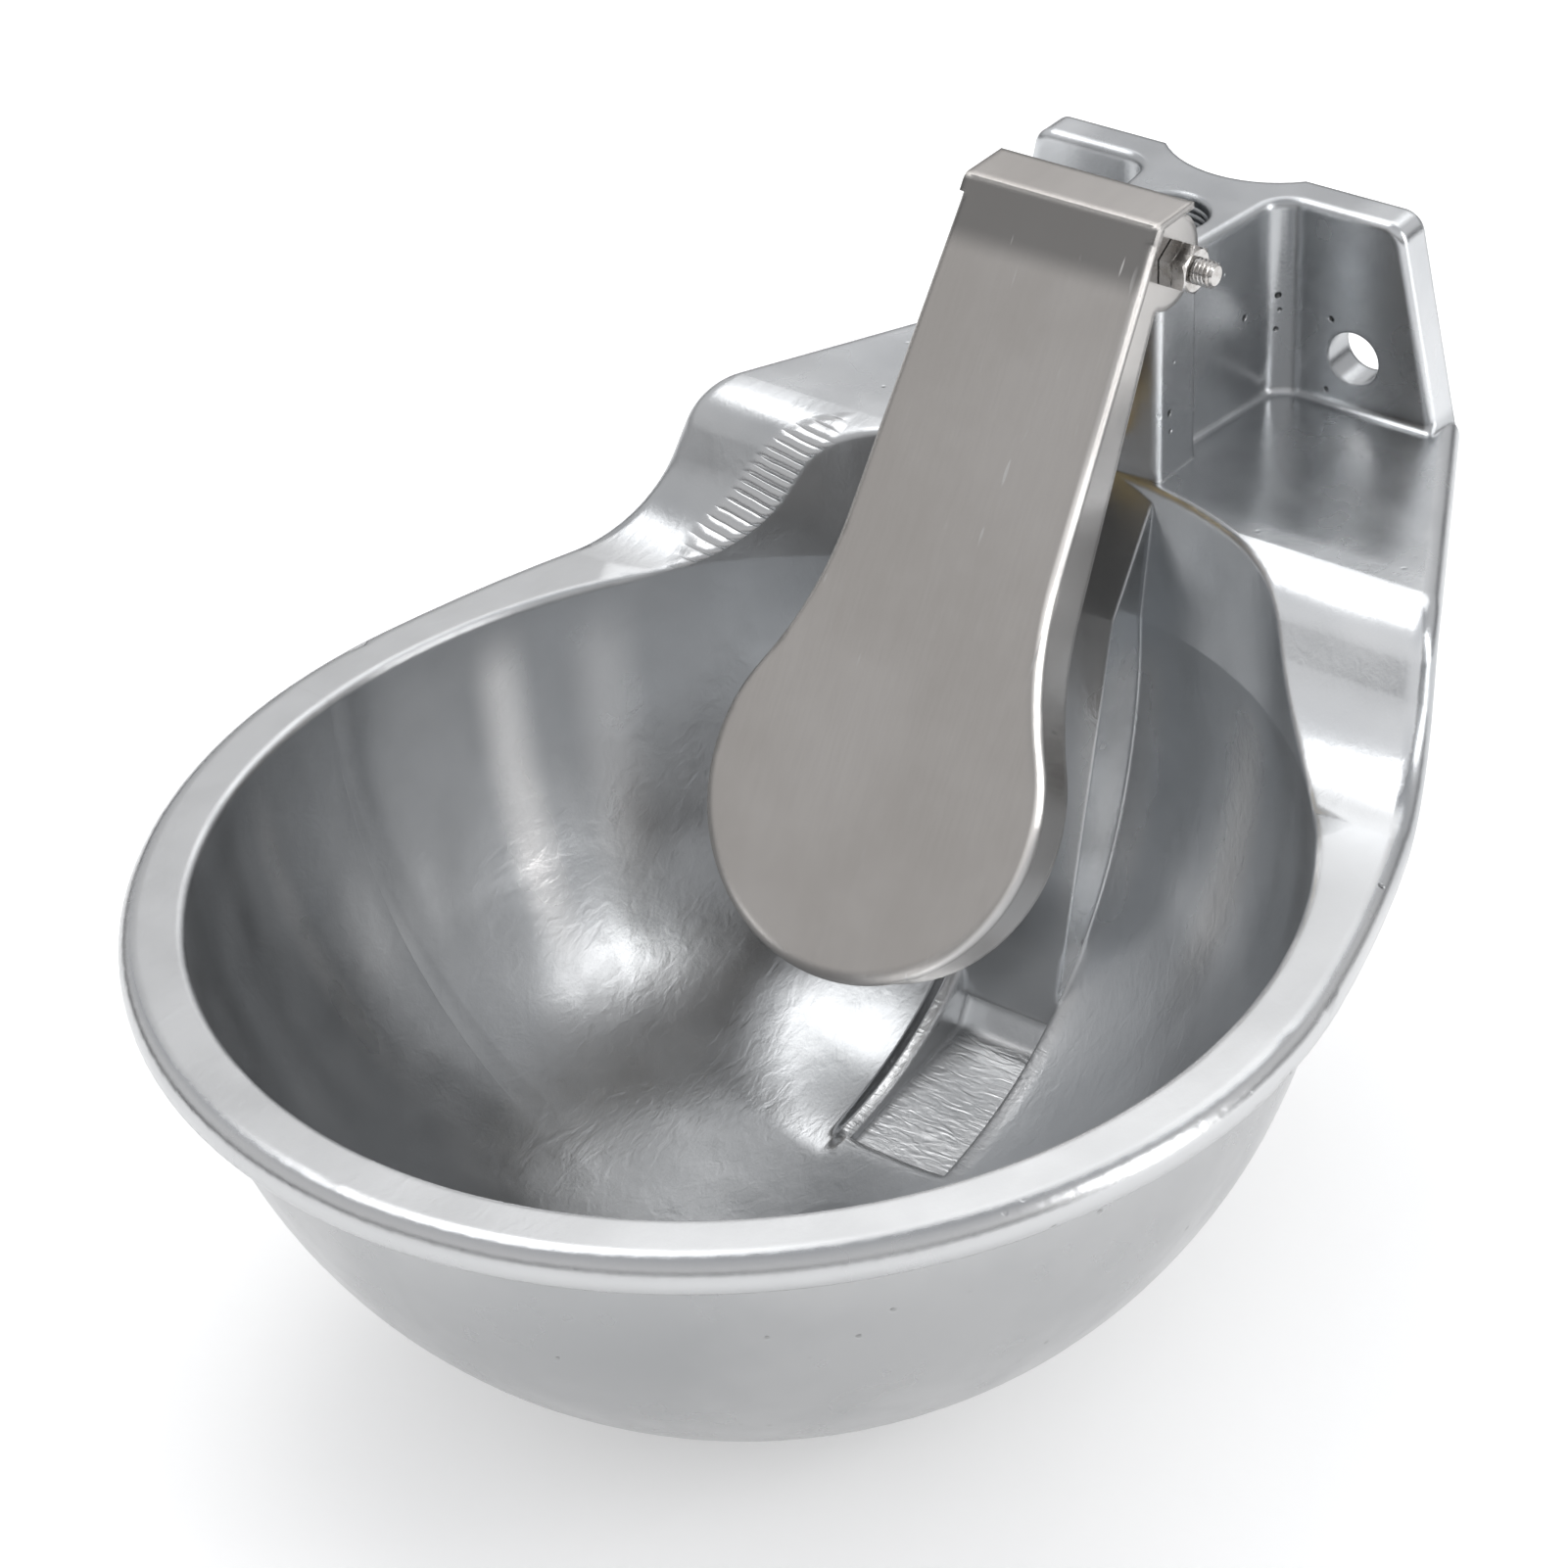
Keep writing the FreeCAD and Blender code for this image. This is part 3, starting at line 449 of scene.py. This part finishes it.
def pale_floor():
    """Plain near-white floor with the faintest unevenness."""
    g = Graph("pale_floor", roughness=0.8)
    g.set("Base Color", g.blend(g.noise(3.0, detail=2.0), grey(0.90), grey(0.93)))
    g.set("Emission Color", grey(1.0))
    g.set("Emission Strength", 0.28)
    g.set("Normal", g.bump(g.noise(120.0, detail=2.0), 0.1 * MM))
    return g.material


def mesh_piece(name, rings, material, body, closed=True):
    """Skin of quads over rings of points, one ring after another, as a piece that rides on a body."""
    mesh = bmesh.new()
    rows = [[mesh.verts.new(point) for point in ring] for ring in rings]
    count = len(rows[0])
    for lower, upper in zip(rows, rows[1:]):
        for i in range(count if closed else count - 1):
            j = (i + 1) % count
            mesh.faces.new((lower[i], lower[j], upper[j], upper[i]))
    for row in (rows[0], rows[-1]):
        if closed and (row[0].co - row[count // 2].co).length > 0:
            mesh.faces.new(row)
    bmesh.ops.recalc_face_normals(mesh, faces=mesh.faces)
    for face in mesh.faces:
        face.smooth = len(face.verts) == 4
    data = bpy.data.meshes.new(name)
    mesh.to_mesh(data)
    mesh.free()
    piece = bpy.data.objects.new(name, data)
    bpy.context.scene.collection.objects.link(piece)
    piece.data.materials.append(material)
    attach(piece, body)
    return piece


def thread_depth(turns):
    """Height of a rounded V thread, 0 at the root and 1 at the crest, at a place along its turns."""
    steepness = 1.3
    root_flat = 0.15
    phase = abs((turns % 1.0) * 2 - 1)
    return min(1.0, max(0.0, phase * steepness - root_flat))


def bolt_with_thread(material):
    """The pivot bolt again, with its hex head and the thread that shows beyond the nuts."""
    low, high = (Vector(corner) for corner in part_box("pivot_bolt"))
    lock_nut = Vector(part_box("pivot_lock_nut")[1])
    radius = 3.0 * MM
    root = 2.45 * MM
    pitch = 1.0 * MM
    width = 10.0 * MM
    head = 4.0 * MM
    chamfer = 0.8 * MM
    threaded = 8.0 * MM
    face_radius = 0.94 * width / 2
    face_chamfer = 0.45 * MM
    ring_step = 0.08 * MM
    steps = 60
    thread_start = lock_nut.x - threaded
    axis = Vector((0, PIVOT_Y, PIVOT_Z))

    def ring(x, reach):
        points = []
        for i in range(steps):
            turn = 2 * math.pi * i / steps
            away = reach(turn)
            points.append(axis + Vector((x, away * math.cos(turn), away * math.sin(turn))))
        return points

    def hexagon(turn):
        return width / 2 / math.cos((turn % (math.pi / 3)) - math.pi / 6)

    rings = [ring(low.x, lambda turn: face_radius)]
    rings.append(ring(low.x + face_chamfer, hexagon))
    rings.append(ring(low.x + head, hexagon))
    rings.append(ring(low.x + head, lambda turn: radius))
    rings.append(ring(thread_start, lambda turn: radius))
    x = thread_start
    while x < high.x - 0.01 * MM:
        room = min(radius, radius - chamfer + (high.x - x))

        def thread(turn):
            crest = thread_depth(x / pitch - turn / (2 * math.pi))
            return min(room, root + (radius - root) * crest)

        rings.append(ring(x, thread))
        x += ring_step
    rings.append(ring(high.x, lambda turn: radius - chamfer))
    piece = mesh_piece("pivot_bolt_threaded", rings, material, "bowl")
    mark_sharp(piece, 40)
    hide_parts("pivot_bolt")


def mark_sharp(piece, degrees):
    """Keeps edges crisp where the surface turns by more than an angle."""
    mesh = bmesh.new()
    mesh.from_mesh(piece.data)
    for edge in mesh.edges:
        if len(edge.link_faces) == 2 and edge.calc_face_angle() > math.radians(degrees):
            edge.smooth = False
    mesh.to_mesh(piece.data)
    mesh.free()


def inlet_thread(material):
    """Ridge of the pipe thread inside the water inlet."""
    bore = 9.315 * MM
    pitch = 1.814 * MM
    depth = 0.55 * MM
    sunk = 0.05 * MM
    length = 18.0 * MM
    lead_in = 1.2 * MM
    foot = Vector((0, 0, 0.34 * pitch))
    flat = Vector((0, 0, 0.08 * pitch))
    steps = 72
    bottom = TOP_Z - length
    turns = (TOP_Z - lead_in - bottom) / pitch
    rings = []
    for i in range(int(turns * steps)):
        turn = 2 * math.pi * i / steps
        height = bottom + pitch * i / steps
        fade = min(1.0, i / steps, turns - i / steps)
        away = Vector((math.cos(turn), math.sin(turn), 0))
        base = Vector((0, INLET_Y, height))
        crest = bore - depth * fade
        root = base + away * (bore + sunk)
        top = base + away * crest
        rings.append([root - foot, top - flat, top + flat, root + foot])
    piece = mesh_piece("inlet_thread", rings, material, "bowl", closed=False)


def pressed_spring(frame):
    """The valve's spring again, as its own copy of the mesh that rides on the bowl."""
    piece = bpy.data.objects.new("valve_spring_coil", frame["nodes"]["valve_spring"].data.copy())
    bpy.context.scene.collection.objects.link(piece)
    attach(piece, "bowl")
    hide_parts("valve_spring")
    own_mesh(piece)


def add_camera():
    """Camera of the photograph: its direction, roll, lens and framing."""
    back = Vector((math.sin(CAMERA_TURN) * math.cos(CAMERA_DROP),
                   -math.cos(CAMERA_TURN) * math.cos(CAMERA_DROP),
                   math.sin(CAMERA_DROP)))
    level = Vector((math.cos(CAMERA_TURN), math.sin(CAMERA_TURN), 0))
    upright = back.cross(level)
    right = level * math.cos(CAMERA_ROLL) + upright * math.sin(CAMERA_ROLL)
    up = upright * math.cos(CAMERA_ROLL) - level * math.sin(CAMERA_ROLL)
    data = bpy.data.cameras.new("camera")
    data.sensor_width = SENSOR
    data.lens = FOCAL_PIXELS / PHOTO_SIZE * SENSOR
    data.shift_x = (PHOTO_SIZE / 2 - CENTRE_PIXEL[0]) / PHOTO_SIZE
    data.shift_y = (CENTRE_PIXEL[1] - PHOTO_SIZE / 2) / PHOTO_SIZE
    camera = bpy.data.objects.new("camera", data)
    turned = Matrix((right, up, back)).transposed().to_4x4()
    camera.matrix_world = Matrix.Translation(CAMERA_PLACE) @ turned
    bpy.context.scene.collection.objects.link(camera)
    bpy.context.scene.camera = camera


def add_light(name, place, size, power):
    """White soft box aimed at the bowl."""
    data = bpy.data.lights.new(name, "AREA")
    data.shape = "RECTANGLE"
    data.size, data.size_y = size
    data.energy = power
    light = bpy.data.objects.new(name, data)
    light.location = place
    light.rotation_euler = (Vector(AIM) - Vector(place)).to_track_quat("-Z", "Y").to_euler()
    bpy.context.scene.collection.objects.link(light)


def add_studio():
    """White room: soft boxes at the right, above the left and behind, and a pale floor."""
    world = bpy.data.worlds.new("studio")
    world.use_nodes = True
    tree = world.node_tree
    background = tree.nodes["Background"]
    place = tree.nodes.new("ShaderNodeTexCoord")
    split = tree.nodes.new("ShaderNodeSeparateXYZ")
    tree.links.new(place.outputs["Generated"], split.inputs[0])
    ramp = tree.nodes.new("ShaderNodeValToRGB")
    tree.links.new(split.outputs["Z"], ramp.inputs[0])
    stops = ramp.color_ramp.elements
    stops[0].color = ROOM_LEVEL
    stops[1].color = ROOM_ABOVE
    for height, light in ROOM:
        stops.new(height).color = (light, light, light * 1.01, 1.0)
    seen = tree.nodes.new("ShaderNodeLightPath")
    mix = tree.nodes.new("ShaderNodeMix")
    mix.data_type = "RGBA"
    mix.inputs[7].default_value = (1.0, 1.0, 1.0, 1.0)
    tree.links.new(seen.outputs["Is Camera Ray"], mix.inputs[0])
    tree.links.new(ramp.outputs[0], mix.inputs[6])
    tree.links.new(mix.outputs[2], background.inputs["Color"])
    background.inputs["Strength"].default_value = 1.0
    bpy.context.scene.world = world
    bpy.context.scene.view_settings.view_transform = "Standard"

    for name, (place, size, power) in LIGHTS.items():
        add_light(name, place, size, power)

    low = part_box("bowl_casting")[0][2] - 0.5 * MM
    turns = [2 * math.pi * i / FLOOR_CORNERS for i in range(FLOOR_CORNERS)]
    edge = [(FLOOR_REACH * math.cos(turn), BOWL_Y + FLOOR_REACH * math.sin(turn), low) for turn in turns]
    mesh = bpy.data.meshes.new("floor")
    mesh.from_pydata(edge, [], [list(range(FLOOR_CORNERS))])
    floor = bpy.data.objects.new("floor", mesh)
    floor.data.materials.append(pale_floor())
    bpy.context.scene.collection.objects.link(floor)


def dress(frame, material, *names):
    """Gives CAD nodes a material in place of their plain one."""
    for name in names:
        node = frame["nodes"][name]
        node.data.materials.clear()
        node.data.materials.append(material)


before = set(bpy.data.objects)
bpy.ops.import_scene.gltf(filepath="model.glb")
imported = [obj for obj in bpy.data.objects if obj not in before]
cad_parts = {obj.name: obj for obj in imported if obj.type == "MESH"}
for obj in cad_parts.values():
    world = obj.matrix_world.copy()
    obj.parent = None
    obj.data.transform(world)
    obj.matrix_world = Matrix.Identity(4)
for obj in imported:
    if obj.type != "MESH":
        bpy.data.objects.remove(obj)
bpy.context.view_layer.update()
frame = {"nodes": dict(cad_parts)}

aluminium = cast_aluminium()
plating = plated_steel()
turned_brass = brass()
seal_rubber = rubber()
wire = spring_steel()
sheet_steel = stainless()

dress(frame, aluminium, "bowl_casting")
dress(frame, sheet_steel, "tongue", "valve_stem")
dress(frame, plating, "pivot_nut", "pivot_lock_nut", "pivot_washers", "pivot_bolt")
dress(frame, turned_brass, "valve_body", "seal_cup", "spring_retainer")
dress(frame, seal_rubber, "body_gasket", "seal_disc")
dress(frame, wire, "valve_spring", "stem_clip")
dress(frame, strainer_plastic(), "inlet_strainer")

bolt_with_thread(plating)
inlet_thread(aluminium)
pressed_spring(frame)

add_camera()
add_studio()
